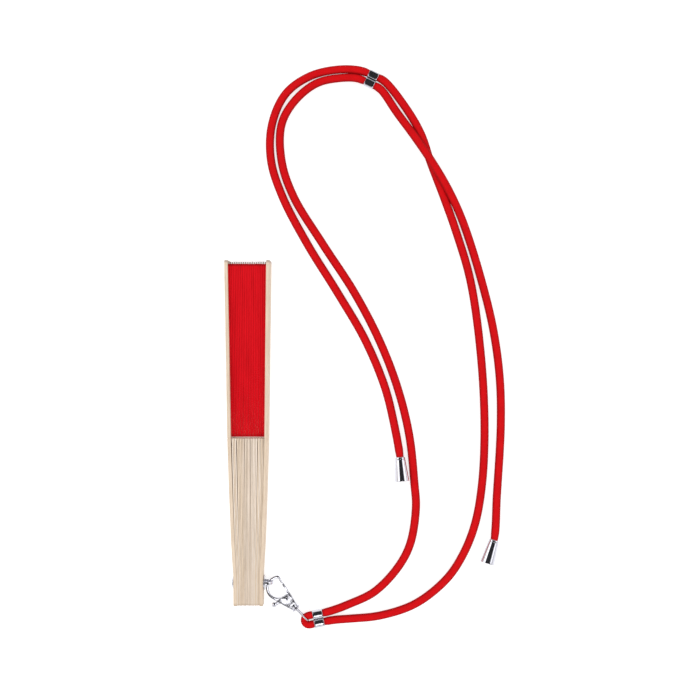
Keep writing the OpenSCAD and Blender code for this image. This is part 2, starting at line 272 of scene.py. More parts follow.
def leaf_material():
    """Woven red cloth, darker in its fold lines, with a stiffened lower hem, a pale line along its
    lower edge and painted shade along its top edge.
    """
    m = Nodes("leaf_cloth")
    warp = m.add(
        "ShaderNodeTexWave",
        {"Vector": m.mapping((0, 1, 0.15)), "Scale": 1500, "Distortion": 0.6, "Detail": 1},
        wave_type="BANDS",
        bands_direction="Y",
    ).outputs["Fac"]
    weft = m.add(
        "ShaderNodeTexWave",
        {"Vector": m.mapping((1, 0.02, 1)), "Scale": 1500, "Distortion": 0.6, "Detail": 1},
        wave_type="BANDS",
        bands_direction="DIAGONAL",
    ).outputs["Fac"]
    weave = m.math("MULTIPLY", warp, weft)
    blotch = m.noise(m.mapping((1, 0.08, 1)), 420, 3)
    colour = m.ramp(blotch, [(0.3, srgb(204, 8, 21)), (0.7, srgb(221, 12, 27))])
    threads = m.ramp(weave, [(0.0, (0.82, 0.74, 0.74, 1)), (0.5, WHITE)])
    colour = m.mix(0.4, colour, threads, "MULTIPLY")
    away = m.add("ShaderNodeVectorMath", {0: m.object, 1: RIVET}, operation="SUBTRACT").outputs[0]
    flat = m.add("ShaderNodeVectorMath", {0: away, 1: (0, 1, 1)}, operation="MULTIPLY").outputs[0]
    r = m.add("ShaderNodeVectorMath", {0: flat}, operation="LENGTH").outputs["Value"]
    place = m.add(
        "ShaderNodeMapRange", {0: r, 1: LEAF_R0 * MM, 2: LEAF_R1 * MM, 3: 0.0, 4: 1.0}
    ).outputs[0]
    # The band just above the hem is the stiffened hem; the darkening at the top edge is painted
    # shade, where shadow falls at the stick tips.
    edges = m.ramp(
        place,
        [
            (0.0, (1, 0.9, 0.9, 1)),
            (0.006, (0.8, 0.7, 0.7, 1)),
            (0.018, (0.84, 0.75, 0.75, 1)),
            (0.024, WHITE),
            (0.985, WHITE),
            (0.994, (0.5, 0.42, 0.42, 1)),
        ],
    )
    colour = m.mix(1.0, colour, edges, "MULTIPLY")
    # A pale line along the lower edge of the cloth.
    pale_hem_line = m.ramp(place, [(0.0035, WHITE), (0.0045, (0, 0, 0, 1))])
    colour = m.mix(pale_hem_line, colour, srgb(250, 240, 232))
    m.set(Base_Color=colour, Roughness=m.spread(weave, 0.88, 0.7))
    m.set(Sheen_Weight=0.03, Sheen_Roughness=0.5, Specular_IOR_Level=0.1)
    m.bump(weave, 0.3, 0.00008)
    return m.material


def cord_material():
    """A smooth tubular knit: fine chevrons along the cord and painted shade down each side."""
    m = Nodes("cord_knit")
    uv = m.add("ShaderNodeUVMap", uv_map="cord").outputs[0]

    def rows(rotation):
        v = m.add("ShaderNodeMapping", {"Vector": uv, "Rotation": (0, 0, rotation)}).outputs[0]
        return m.add(
            "ShaderNodeTexWave",
            {"Vector": v, "Scale": 0.62, "Distortion": 0.35, "Detail": 1, "Detail Scale": 2},
            wave_type="BANDS",
            bands_direction="X",
        ).outputs["Fac"]

    knit = m.math("MULTIPLY", rows(math.radians(38)), rows(math.radians(-38)))
    drift = m.noise(m.mapping((1, 1, 1)), 160, 3)
    colour = m.ramp(drift, [(0.3, srgb(201, 1, 9)), (0.7, srgb(211, 3, 12))])
    stitches = m.ramp(knit, [(0.0, (0.74, 0.62, 0.62, 1)), (0.35, WHITE)])
    colour = m.mix(0.65, colour, stitches, "MULTIPLY")
    # Painted shade: the two sides of the cord are darkened where they turn away from the light.
    y = m.add("ShaderNodeSeparateXYZ", {0: uv}).outputs["Y"]
    around = m.math("MULTIPLY", y, 1 / CORD_UV_R)
    side = m.math("POWER", m.math("ABSOLUTE", m.math("COSINE", around)), 3)
    painted_side_shade = m.ramp(side, [(0.06, WHITE), (0.7, (0.45, 0.43, 0.43, 1))])
    colour = m.mix(0.8, colour, painted_side_shade, "MULTIPLY")
    m.set(Base_Color=colour, Roughness=m.spread(knit, 0.8, 0.6), Specular_IOR_Level=0.12)
    m.bump(knit, 0.45, 0.00014)
    return m.material


def metal(name, colour, low, high, wear):
    """Plated metal with faint polishing marks in its gloss."""
    m = Nodes(name)
    marks = m.noise(m.mapping((1, 1, 4)), 1400, 4, 0.65)
    cloud = m.noise(m.object, 320, 2)
    tint = m.ramp(cloud, [(0.3, tuple(c * wear for c in colour[:3]) + (1,)), (0.7, colour)])
    m.set(Base_Color=tint, Metallic=1.0, Roughness=m.spread(marks, low, high))
    m.bump(marks, 0.06, 0.00003)
    return m.material


LEAF = leaf_material()
CORD = cord_material()
CHROME = metal("bright_chrome", (0.67, 0.67, 0.73, 1), 0.05, 0.11, 0.95)
NICKEL = metal("satin_nickel", (0.76, 0.76, 0.82, 1), 0.13, 0.22, 0.95)


# ---------------------------------------------------------------- mesh helpers
def make(name, points, faces, material, smooth=35):
    """An object of these faces, shaded smooth across edges of less than smooth degrees."""
    mesh = bpy.data.meshes.new(name)
    mesh.from_pydata([tuple(p) for p in points], [], faces)
    bm = bmesh.new()
    bm.from_mesh(mesh)
    bmesh.ops.remove_doubles(bm, verts=bm.verts, dist=1e-7)
    bmesh.ops.dissolve_degenerate(bm, edges=bm.edges, dist=1e-7)
    bmesh.ops.recalc_face_normals(bm, faces=bm.faces)
    sharp = math.radians(smooth)
    for f in bm.faces:
        f.smooth = True
    for e in bm.edges:
        if len(e.link_faces) == 2 and e.calc_face_angle(0) > sharp:
            e.smooth = False
    bm.to_mesh(mesh)
    bm.free()
    mesh.materials.append(material)
    obj = bpy.data.objects.new(name, mesh)
    bpy.context.scene.collection.objects.link(obj)
    return obj


def loft_faces(count, size, start=0):
    """Faces of a closed tube of count rings of size points each."""
    faces = []
    for k in range(count - 1):
        for j in range(size):
            a = start + k * size + j
            b = start + k * size + (j + 1) % size
            faces.append((a, b, b + size, a + size))
    faces.append(tuple(start + j for j in reversed(range(size))))
    faces.append(tuple(start + (count - 1) * size + j for j in range(size)))
    return faces


class Parts:
    """Several closed shells that become one piece."""

    def __init__(self, matrix):
        self.matrix, self.points, self.faces = matrix, [], []

    def rings(self, rings):
        start = len(self.points)
        self.points += [self.matrix @ Vector(p) for ring in rings for p in ring]
        self.faces += loft_faces(len(rings), len(rings[0]), start)

    def ring_loop(self, rings):
        """A closed sweep, whose last ring joins the first."""
        start, size, count = len(self.points), len(rings[0]), len(rings)
        self.points += [self.matrix @ Vector(p) for ring in rings for p in ring]
        for k in range(count):
            for j in range(size):
                a, b = k * size + j, k * size + (j + 1) % size
                c, d = (k + 1) % count * size + (j + 1) % size, (k + 1) % count * size + j
                self.faces.append(tuple(start + x for x in (a, b, c, d)))

    def turned(self, profile, place, segments=48, power=2):
        """A closed profile of (along, radius), turned about the axis of place.

        place is an origin, the axis and two directions across it. The section is round at a
        power of 2, and squarer above it.
        """
        origin, axis, side, up = (Vector(p) for p in place)
        rings = []
        for k in range(segments):
            t = 2 * math.pi * k / segments
            out = side * math.cos(t) + up * math.sin(t)
            out *= (abs(math.cos(t)) ** power + abs(math.sin(t)) ** power) ** (-1 / power)
            rings.append([origin + axis * u + out * r for u, r in profile])
        self.ring_loop(rings)

    def plate(self, outline, low, high, round_r):
        """An outline with rounded rims, from height low to high."""
        data = bpy.data.curves.new("outline", "CURVE")
        data.dimensions = "2D"
        data.fill_mode = "BOTH"
        data.extrude = (high - low) / 2 - round_r
        data.bevel_depth = round_r
        data.bevel_resolution = 3
        data.offset = -round_r
        spline = data.splines.new("POLY")
        spline.points.add(len(outline) - 1)
        for p, (x, y) in zip(spline.points, outline):
            p.co = (x, y, 0, 1)
        spline.use_cyclic_u = True
        obj = bpy.data.objects.new("outline", data)
        bpy.context.scene.collection.objects.link(obj)
        bpy.context.view_layer.update()
        depsgraph = bpy.context.evaluated_depsgraph_get()
        mesh = bpy.data.meshes.new_from_object(obj.evaluated_get(depsgraph))
        start = len(self.points)
        middle = (low + high) / 2
        self.points += [self.matrix @ (v.co + Vector((0, 0, middle))) for v in mesh.vertices]
        self.faces += [tuple(start + i for i in f.vertices) for f in mesh.polygons]
        bpy.data.objects.remove(obj)
        bpy.data.curves.remove(data)
        bpy.data.meshes.remove(mesh)

    def piece(self, name, material, body, slot, *nodes, smooth=35):
        """The shells as one object that rides on body and stands for nodes."""
        obj = make(name, self.points, self.faces, material, smooth)
        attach(obj, body)
        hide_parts(*nodes)
        return obj


def arc(centre, r, start, end, steps):
    """Points on a circle, from start to end in degrees."""
    return [
        (
            centre[0] + r * math.cos(math.radians(start + (end - start) * k / steps)),
            centre[1] + r * math.sin(math.radians(start + (end - start) * k / steps)),
        )
        for k in range(steps + 1)
    ]


# ---------------------------------------------------------------- camera
camera = bpy.data.objects.new("camera", bpy.data.cameras.new("camera"))
bpy.context.scene.collection.objects.link(camera)
camera.location = (RIVET.x + 0.0686, RIVET.y + 0.1573, 0.75)
camera.rotation_euler = (0, 0, 0)
camera.data.sensor_width = 36
camera.data.lens = 56.5
camera.data.clip_start = 0.01
camera.data.clip_end = 20
bpy.context.scene.camera = camera

# ---------------------------------------------------------------- cords
LIE = 1.9  # the height of a cord that lies on the table
TUBE_Z = 3  # its height in a slider
A_ROUTE = [
    (37, -27, 3.2), (37.6, -24.6, 3.2), (39.8, -23.2, 3.1), (43, -22.8, 3), (46.6, -22.2, TUBE_Z),
    (51, -21.3, TUBE_Z), (57.5, -19.6, 2.4), (68.5, -15.5, LIE), (85, -7.5, LIE), (101, 9, LIE),
    (109.5, 25, LIE), (113.5, 50, LIE), (112.5, 66, LIE), (109, 99, LIE), (101, 131.5, LIE),
    (88.5, 164, LIE), (71.5, 196.5, LIE), (50, 229.5, LIE), (30, 262, LIE), (22, 286, LIE),
    (22, 311, LIE), (31, 327, LIE), (46, 339, LIE), (62.5, 342.5, 2.2), (74, 342, TUBE_Z),
    (81.9, 338.5, TUBE_Z), (89, 335, TUBE_Z), (100.5, 319, 2.2), (112, 303, 4), (123, 286.5, 5.8),
    (133.3, 270, 4.2), (141.5, 254, 2.4), (148, 237.5, LIE), (158, 205, LIE), (166, 172, LIE),
    (170.5, 139, LIE), (171.3, 107, LIE), (168.6, 58, LIE), (166.6, 28.2, 3.3), (162.5, 15.6, 4.5),
]
B_ROUTE = [
    (37, -27, 3.2), (38.3, -29.1, 3.2), (40.8, -29.8, 3.1), (44, -28.7, 3), (47.8, -28, TUBE_Z),
    (52, -27.1, TUBE_Z), (59, -26.2, 2.4), (70, -25.5, LIE), (89, -23.5, LIE), (113, -15.5, LIE),
    (134, 1, LIE), (145, 17, LIE), (153.5, 38, LIE), (158.5, 66, LIE), (160.2, 107, LIE),
    (157.5, 156, LIE), (150.5, 205, LIE), (141, 237.5, LIE), (132.3, 262, LIE), (123, 286.5, LIE),
    (117.5, 303, LIE), (108.7, 319, LIE), (91.5, 340.5, TUBE_Z), (84.5, 343.7, TUBE_Z),
    (77, 347, TUBE_Z), (62.5, 348.3, 2.2), (42, 344, LIE), (25, 332, LIE), (15.5, 311, LIE),
    (14.8, 286.5, LIE), (22.5, 262, LIE), (39.5, 229.5, LIE), (60, 196.5, LIE), (79, 164, LIE),
    (92.5, 131.5, LIE), (99, 105, LIE), (102.6, 84.5, 3.3), (103.7, 71.2, 4.5),
]
LOWER_SLIDER, LOWER_ANGLE = Vector((47.2, -25.1, 3)), math.radians(11)
UPPER_SLIDER, UPPER_ANGLE = Vector((83.2, 341.1, 3)), math.radians(-26)
CAP_LEN, CAP_MOUTH_R, CAP_OPEN_R = 16.5, 3.3, 4.9
CORD_STEP = 1.0  # between two samples


def centripetal(points):
    """A smooth curve through the points, and where each point lies in its list of samples."""
    pts = [Vector(p) for p in points]
    pts = [2 * pts[0] - pts[1], *pts, 2 * pts[-1] - pts[-2]]
    line, marks = [], [0]
    for p0, p1, p2, p3 in zip(pts, pts[1:], pts[2:], pts[3:]):
        t1 = math.sqrt((p1 - p0).length)
        t2 = t1 + math.sqrt((p2 - p1).length)
        t3 = t2 + math.sqrt((p3 - p2).length)
        steps = max(2, round((p2 - p1).length / CORD_STEP))
        for k in range(steps):
            t = t1 + (t2 - t1) * k / steps
            a1 = p0 * ((t1 - t) / t1) + p1 * (t / t1)
            a2 = p1 * ((t2 - t) / (t2 - t1)) + p2 * ((t - t1) / (t2 - t1))
            a3 = p2 * ((t3 - t) / (t3 - t2)) + p3 * ((t - t2) / (t3 - t2))
            b1 = a1 * ((t2 - t) / t2) + a2 * (t / t2)
            b2 = a2 * ((t3 - t) / (t3 - t1)) + a3 * ((t - t1) / (t3 - t1))
            line.append(b1 * ((t2 - t) / (t2 - t1)) + b2 * ((t - t1) / (t2 - t1)))
        marks.append(len(line))
    line.append(pts[-2])
    return line, marks


whole, whole_marks = centripetal(list(reversed(B_ROUTE)) + A_ROUTE[1:])
for _ in range(6):
    between = [(a + 2 * b + c) / 4 for a, b, c in zip(whole, whole[1:], whole[2:])]
    whole = [whole[0]] + between + [whole[-1]]
for p in whole:
    p.z = max(p.z, LIE)
apex = whole_marks[len(B_ROUTE) - 1]
whole_along = [
    (after - before).normalized()
    for before, after in zip([whole[0]] + whole[:-1], whole[1:] + [whole[-1]])
]


def cord_size(p, to_end):
    """Half width and half height of the cord at p, to_end mm before the strand's end."""
    near = min((p - LOWER_SLIDER).length, (p - UPPER_SLIDER).length)
    width = 2.5 + 0.3 * min(1, max(0, (near - 4.8) / 1.8))
    from_apex = (p - whole[apex]).length
    width = min(width, 2.45 + 0.35 * min(1, from_apex / 9))
    height = lookup(from_apex, [(0, 1.7), (9, 1.86)])
    if to_end < 18:
        into_cap = lookup(to_end, [(13.2, 0), (18, 1)])
        width = 2.45 + (width - 2.45) * into_cap
        height = 2.3 + (height - 2.3) * into_cap
    if to_end < 8.5:
        bulb = lookup(to_end, [(0, 3.0), (0.5, 3.35), (1.5, 3.6), (4, 3.35), (6, 2.8), (8.5, 2.4)])
        width, height = bulb, bulb
    return width, height


def strand(name, line, tangents, node):
    """A strand's tube along line, its UVs in mm along and round it, its path and its length."""
    sides = 20
    points = []
    lengths = [0]
    for a, b in zip(line, line[1:]):
        lengths.append(lengths[-1] + (b - a).length)
    total = lengths[-1]
    for k, (p, along) in enumerate(zip(line, tangents)):
        side = Vector((0, 0, 1)).cross(along).normalized()
        up = along.cross(side)
        w, h = cord_size(p, total - lengths[k])
        for j in range(sides):
            t = 2 * math.pi * j / sides
            points.append(FROM_RIVET @ (p + side * w * math.cos(t) + up * h * math.sin(t)))
    faces = loft_faces(len(line), sides)
    mesh = bpy.data.meshes.new(name)
    mesh.from_pydata([tuple(p) for p in points], [], faces)
    uv = mesh.uv_layers.new(name="cord")
    around = 2 * math.pi * CORD_UV_R / sides
    for f in mesh.polygons:
        f.use_smooth = True
        if len(f.vertices) != 4:
            f.use_smooth = False
            for li in f.loop_indices:
                v = mesh.vertices[mesh.loops[li].vertex_index].co
                uv.data[li].uv = (v.x * 1000, v.y * 1000)
            continue
        columns = [mesh.loops[li].vertex_index % sides for li in f.loop_indices]
        wraps = 0 in columns and sides - 1 in columns
        for li in f.loop_indices:
            index = mesh.loops[li].vertex_index
            column = index % sides
            if wraps and column == 0:
                column = sides
            uv.data[li].uv = (lengths[index // sides], column * around)
    mesh.materials.append(CORD)
    obj = bpy.data.objects.new(name, mesh)
    bpy.context.scene.collection.objects.link(obj)
    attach(obj, "lanyard")
    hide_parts(node)
    path = [FROM_RIVET @ p for p in line]
    return obj, path, total * MM


strands = {
    "a": strand("cord_strand_a", whole[apex:], whole_along[apex:], "strand_a"),
    "b": strand(
        "cord_strand_b",
        whole[apex::-1],
        [-along for along in whole_along[apex::-1]],
        "strand_b",
    ),
}

# ---------------------------------------------------------------- end caps
LEAN = math.atan((CAP_OPEN_R - CAP_MOUTH_R) / CAP_LEN)


def turned_place(origin, axis):
    """An axis with its two sides, for Parts.turned."""
    axis = Vector(axis).normalized()
    side = Vector((0, 0, 1)).cross(axis)
    side = side.normalized() if side.length > 1e-6 else Vector((1, 0, 0))
    return origin, axis, side, axis.cross(side)


def end_cap(letter, mouth, angle):
    """A hollow cone that lies on the table. Its mouth holds the cord, and its wide end is open."""
    angle = math.radians(angle)
    level = math.cos(LEAN)
    axis = Vector((math.cos(angle) * level, math.sin(angle) * level, math.sin(LEAN)))
    origin = Vector((mouth[0], mouth[1], CAP_MOUTH_R * math.cos(LEAN)))

    def outer(u):
        return CAP_MOUTH_R + (CAP_OPEN_R - CAP_MOUTH_R) * u / CAP_LEN

    profile = [(0.0, 2.75), (0.0, 3.0), (0.12, 3.2), (0.35, outer(0.35))]
    profile += [(1.5, outer(1.5)), (1.62, outer(1.6) - 0.12), (1.86, outer(1.9) - 0.12)]
    profile += [(2.0, outer(2.0)), (2.15, outer(2.15))]
    profile += [(u, outer(u)) for u in (4, 8, 12)]
    profile += [(15.3, outer(15.3)), (15.9, outer(15.9)), (16.3, 4.84), (16.46, 4.74), (16.5, 4.62)]
    profile += [(16.44, 4.5), (16.2, 4.4), (12, 3.9), (8, 3.22), (4, 2.66), (0.4, 2.62)]
    parts = Parts(FROM_RIVET)
    parts.turned(profile, turned_place(origin, axis), 64)
    return parts.piece(
        f"cord_cap_{letter}", CHROME, "lanyard", "chrome_metal", f"end_cap_{letter}", smooth=50
    )


caps = {"a": end_cap("a", (166.6, 28.2), -108), "b": end_cap("b", (102.6, 84.5), -85.3)}


# ---------------------------------------------------------------- sliders
TUBE_OFFSET = 2.95
TUBE_POWER = 3.2


def slider(name, place, angle, body):
    """Two grooved tubes side by side, joined by a thin V-shaped web above and below."""
    parts = Parts(FROM_RIVET)
    axis = Vector((math.cos(angle), math.sin(angle), 0))
    across = Vector((-axis.y, axis.x, 0))
    profile = [(-3.4, 2.72), (-3.4, 2.86), (-3.3, 2.96), (-3.15, 3.0), (-2.95, 3.0)]
    profile += [(-2.87, 2.95), (-2.78, 2.95), (-2.7, 3.0), (-2.6, 3.0)]
    profile += [(2.6, 3.0), (2.7, 3.0), (2.78, 2.95), (2.87, 2.95), (2.95, 3.0), (3.15, 3.0)]
    profile += [(3.3, 2.96), (3.4, 2.86), (3.4, 2.72), (3.2, 2.61), (0, 2.6), (-3.2, 2.61)]
    for s in (-1, 1):
        tube = turned_place(place + across * s * TUBE_OFFSET, axis)
        parts.turned(profile, tube, 64, TUBE_POWER)
    web = [(1.0, 2.4), (0, 1.8), (-1.0, 2.4), (0, 1.55)]
    for side in (web, [(x, -z) for x, z in reversed(web)]):
        parts.rings(
            [
                [place + axis * u + across * x + Vector((0, 0, z)) for x, z in side]
                for u in (-3.1, 3.1)
            ]
        )
    parts.piece(name, CHROME, body, "chrome_metal", body, smooth=50)


slider("slider_lower", LOWER_SLIDER, LOWER_ANGLE, "lower_slider")
slider("slider_upper", UPPER_SLIDER, UPPER_ANGLE, "upper_slider")


# ---------------------------------------------------------------- sticks
def section(left, right, half, corner_left, corner_right, steps=4):
    """A rounded section from x = left to right and z = -half to half."""
    points = []
    for sx, sz, first in ((1, 1, 0), (-1, 1, 90), (-1, -1, 180), (1, -1, 270)):
        c = corner_right if sx > 0 else corner_left
        x0 = right - c if sx > 0 else left + c
        for j in range(steps + 1):
            t = math.radians(first + 90 * j / steps)
            points.append((x0 + c * math.cos(t), sz * (half - c) + c * math.sin(t)))
    return points


def rounded_end(d, corner, rim):
    """How far the height and the sides draw in at d mm from a stick's end."""
    height = corner - math.sqrt(max(0, corner**2 - (corner - d) ** 2)) if d < corner else 0
    sides = rim - math.sqrt(max(0, rim**2 - (rim - d) ** 2)) if d < rim else 0
    return height, sides


def ends_and(stations, low, high):
    """The stations between a stick's rounded ends, and close ones round each end."""
    near = [0, 0.05, 0.15, 0.3, 0.5, 0.8, 1.2, 1.6]
    between = {r for r in stations if low + near[-1] < r < high - near[-1]}
    return sorted({low + d for d in near} | {high - d for d in near} | between)


def cut_bore(obj):
    """The rivet's hole, cut with a cylinder and applied."""
    cutter_parts = Parts(ALONG_RIVET)
    turns = [t * math.pi / 24 for t in range(48)]
    circle = [(BORE_R * math.cos(t), BORE_R * math.sin(t)) for t in turns]
    cutter_parts.rings([[(x, y, z) for x, y in circle] for z in (-30, 30)])
    cutter = make("cutter", cutter_parts.points, cutter_parts.faces, obj.data.materials[0])
    modifier = obj.modifiers.new("bore", "BOOLEAN")
    modifier.object = cutter
    modifier.operation = "DIFFERENCE"
    modifier.solver = "EXACT"
    bpy.context.view_layer.update()
    depsgraph = bpy.context.evaluated_depsgraph_get()
    cut = bpy.data.meshes.new_from_object(obj.evaluated_get(depsgraph))
    obj.modifiers.clear()
    obj.data = cut
    bpy.data.objects.remove(cutter)


def guard(side, node, body):
    """A guard with a groove and a rebate where the leaf starts. side is -1 left and 1 right."""
    stations = [-8, 0, 5.5, 10, 16, 27, 45, 62, 80, 92, 97.9, 98.2, 98.35, 98.5, 98.65, 98.8, 99.1]
    stations += [108, 125, 145, 165, 185, 200, 208]
    rings = []
    for r in ends_and(stations, -TAIL_R, TIP_R):
        d = min(r + TAIL_R, TIP_R - r)
        down, inward = rounded_end(d, 1.6 if r < 100 else 2.2, 0.5)
        groove = lookup(r, [(98.2, 0), (98.35, 0.22), (98.65, 0.22), (98.8, 0)])
        rebate = lookup(r, [(98.4, 0), (98.6, 0.12)])
        inner = stack_half(r) + inward + rebate
        outer = stack_half(r) + GUARD_T - inward - groove
        half = half_h(r) - down - groove
        left, right = (inner, outer) if side > 0 else (-outer, -inner)
        c_in, c_out = 0.22, 0.85
        corners = (c_in, c_out) if side > 0 else (c_out, c_in)
        limit = (outer - inner) / 2.4
        corners = [min(c, limit) for c in corners]
        rings.append([(x, r, z) for x, z in section(left, right, half, *corners)])
    parts = Parts(STICK)
    parts.rings(rings)
    obj = make(f"stick_{node}", parts.points, parts.faces, GUARD_WOOD, 40)
    cut_bore(obj)
    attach(obj, body)
    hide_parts(node)


guard(-1, "guard_left", "fan_base")
guard(1, "guard_right", "guard_right")


def rib(i):
    """A rib, full height up to the leaf and a narrow slat behind it, each cut a little unevenly."""
    node = f"rib_{i:02d}"
    drop = random.uniform(0, 0.3)
    tail_back = random.uniform(0.25, 0.55)
    tip_r = TIP_R - 0.6 - random.uniform(0, 0.35)
    lean = random.uniform(-0.025, 0.025)
    outline = [(62, 0.25), (84, 0.4), (92, 0.5), (98.2, 0.6)]
    stations = [-8, 0, 5.5, 14, 27, 38, 50, 62, 72, 80, 88, 92, 95, 98.2, 98.42]
    stations += [110, 130, 150, 170, 190, 205]
    rings = []
    for r in ends_and(stations, -TAIL_R + tail_back, tip_r):
        d = min(r + TAIL_R - tail_back, tip_r - r)
        corner = 1.5 if r < 100 else 0.9
        down, inward = rounded_end(d, corner, 0.12)
        thick = (GORGE_T if 92 < r < RIB_END_R else rib_thick(r)) / 2 - inward
        if r < RIB_END_R:
            half = half_h(r) - lookup(r, outline) - drop
        else:
            half = lookup(r, SLAT_HALF)
        x = stick_x(i, r) + lean * lookup(r, [(27, 0), (62, 1), (92, 1), (98, 0)])
        c = min(0.15, thick * 0.7)
        rings.append([(a, r, z) for a, z in section(x - thick, x + thick, half - down, c, c, 3)])
    parts = Parts(STICK)
    parts.rings(rings)
    material = RIB_WOODS[(i * 7 + i // 3) % len(RIB_WOODS)]
    obj = make(f"stick_{node}", parts.points, parts.faces, material, 40)
    cut_bore(obj)
    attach(obj, node)
    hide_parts(node)


for i in range(1, RIBS + 1):
    rib(i)

# ---------------------------------------------------------------- leaf
LEAF_T = 0.12
FACE = 0.31  # from a stick's middle to the cloth on its face
FOLD_IN = 0.48  # from a stick's middle to the free panel's lower edge
LIP = 0.6  # how far a glued panel's folds reach along the free panel
STEPS = 10
LEAF_STATIONS = [LEAF_R0 + (LEAF_R1 - LEAF_R0) * k / STEPS for k in range(STEPS + 1)]


def thicken(line, t):
    """Both sides of a line in the x-z plane, t apart, as one closed loop."""
    one, other = [], []
    for k, (x, z) in enumerate(line):
        x0, z0 = line[max(k - 1, 0)]
        x1, z1 = line[min(k + 1, len(line) - 1)]
        dx, dz = x1 - x0, z1 - z0
        n = math.hypot(dx, dz)
        one.append((x - dz / n * t / 2, z + dx / n * t / 2))
        other.append((x + dz / n * t / 2, z - dx / n * t / 2))
    return one + other[::-1]


def sheet_of(name, outlines):
    """A thin closed sheet lofted along the stick, returned with its cut size."""
    parts = Parts(STICK)
    parts.rings([[(x, r, z) for x, z in thicken(line, LEAF_T)] for r, line in outlines])
    obj = make(name, parts.points, parts.faces, LEAF, 60)
    wide = [sum(math.dist(a, b) for a, b in zip(line, line[1:])) for _, line in outlines]
    area = (wide[0] + wide[-1]) / 2 * (LEAF_R1 - LEAF_R0) * MM * MM
    return obj, max(wide) * MM, area


def glued(k):
    """The panel on stick k's right face, with the rolled folds at its two edges."""
    outlines = []
    for r in LEAF_STATIONS:
        h = r * math.tan(PANEL_HALF)
        x, p = stick_x(k, r), pitch(r)
        slip = lookup(r, [(98, 2.6), (215.9, 1.6)])
        face = x + FACE
        line = []
        if k > 0:
            start = x - p + FOLD_IN
            line += [(start - 0.07, -h + LIP), (start - 0.08, -h + 0.22)]
            line += [(start + 0.02, -h + 0.08), (start + 0.2, -h + 0.06)]
            line += [(x, -h + 0.06), (x + 0.17, -h + 0.1), (x + 0.25, -h + 0.26)]
        else:
            line += [(face, -h + 0.1)]
        line += [(face, -slip - 0.25), (face, 0.0), (face, slip + 0.15)]
        top = x + p
        edge = x + (0.05 if k else 0.2)
        line += [(edge, h - 0.32), (edge + 0.02, h - 0.14), (edge + 0.12, h - 0.06)]
        line += [(x + p * 0.5, h - 0.03), (top - 0.33, h - 0.06), (top - 0.2, h - 0.14)]
        line += [(top - 0.17, h - 0.3), (top - 0.2, h - LIP)]
        outlines.append((r, line))
    obj, wide, area = sheet_of(f"leaf_panel_{k:02d}", outlines)
    body = "fan_base" if k == 0 else f"rib_{k:02d}"
    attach(obj, body)
    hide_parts(f"leaf_{k:02d}")


def free(k):
    """The panel that hangs between the fold over stick k and the fold under stick k + 1."""
    outlines = []
    for r in LEAF_STATIONS:
        h = r * math.tan(PANEL_HALF)
        x, p = stick_x(k, r), pitch(r)
        outlines.append((r, [(x + p - FACE, h - LIP), (x + FOLD_IN, -h + LIP)]))
    obj, wide, area = sheet_of(f"leaf_fold_{k:02d}", outlines)
    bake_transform(obj)
    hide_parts(f"leaf_{k:02d}")


for k in range(RIBS + 1):
    glued(k)
    free(k)

# ---------------------------------------------------------------- rivet
PLAY, WASHER_T, BAND_R = 0.05, 0.3, 4.8
STACK_OUTER = stack_half(0) + GUARD_T
WASHER_X = STACK_OUTER + PLAY
DISC_X = WASHER_X + WASHER_T + PLAY
LOOP_X = DISC_X + 1.3
AXIS_X = ((0, 0, 0), (0, 0, 1), (1, 0, 0), (0, 1, 0))

head = Parts(ALONG_RIVET @ Matrix.Translation((0, 0, -DISC_X)) @ Matrix.Rotation(math.pi, 4, "X"))
dome = [(0.0, 3.84), (0.08, 3.9), (0.24, 3.9), (0.36, 3.82), (0.52, 3.6), (0.7, 3.2)]
dome += [(0.84, 2.6), (0.93, 1.9), (0.98, 1.1), (1.0, 0.02), (0.0, 0.02)]
head.turned(dome, AXIS_X)
head.piece("rivet_cap", NICKEL, "fan_base", "chrome_metal", "rivet_head")

for node, x in (("washer_left", -WASHER_X - WASHER_T), ("washer_right", WASHER_X)):
    ring = Parts(ALONG_RIVET @ Matrix.Translation((0, 0, x)))
    rim = [(0.06, 4.6), (0.24, 4.6), (WASHER_T, 4.54), (WASHER_T, 1.6)]
    ring.turned([(0.0, 1.6), (0.0, 4.54)] + rim, AXIS_X)
    ring.piece(f"{node}_ring", NICKEL, "fan_base", "chrome_metal", node)

loop = Parts(ALONG_RIVET)
disc = [(0.0, 0.02), (0.0, 5.0), (0.1, 5.1), (0.6, 5.1), (0.74, 5.02)]
disc += [(0.8, 4.86), (0.8, 3.5), (0.72, 3.3), (0.72, 0.02)]
loop.turned([(DISC_X + u, r) for u, r in disc], AXIS_X, 64)
loop.matrix = Matrix.Translation(RIVET) @ Matrix.Scale(MM, 4)
band = []
path = [(DISC_X + 0.3, -1.0), (LOOP_X, -1.0)] + [(0, a) for a in range(-80, 81, 8)]
path += [(LOOP_X, 1.0), (DISC_X + 0.3, 1.0)]
for k, (a, b) in enumerate(path):
    if a:
        centre, out = Vector((a, 0, b * BAND_R)), Vector((0, 0, b))
    else:
        t = math.radians(b)
        out = Vector((math.cos(t), 0, math.sin(t)))
        centre = Vector((LOOP_X, 0, 0)) + out * BAND_R
    corners = section(-0.3, 0.3, 1.0, 0.16, 0.2, 3)
    band.append([centre + out * x + Vector((0, y, 0)) for x, y in corners])
loop.rings(band)
loop.piece("rivet_band_loop", NICKEL, "fan_base", "chrome_metal", "rivet_loop", smooth=50)

# ---------------------------------------------------------------- clasp
HOOK_C, HOOK_OUT, HOOK_IN = (17.3, -1.8), 8.6, 6.7
SLOPE, LINE_START = math.radians(-13.5), -2.4
PIVOT, KNOB = (7.9, -0.2, 0), (11.2, 8.6, 0)


def from_line(s, n):
    """A point s along the gate line and n above it."""
    return (
        s * math.cos(SLOPE) - n * math.sin(SLOPE),
        LINE_START + s * math.sin(SLOPE) + n * math.cos(SLOPE),
    )


def angle_of(p):
    return math.degrees(math.atan2(p[1] - HOOK_C[1], p[0] - HOOK_C[0]))


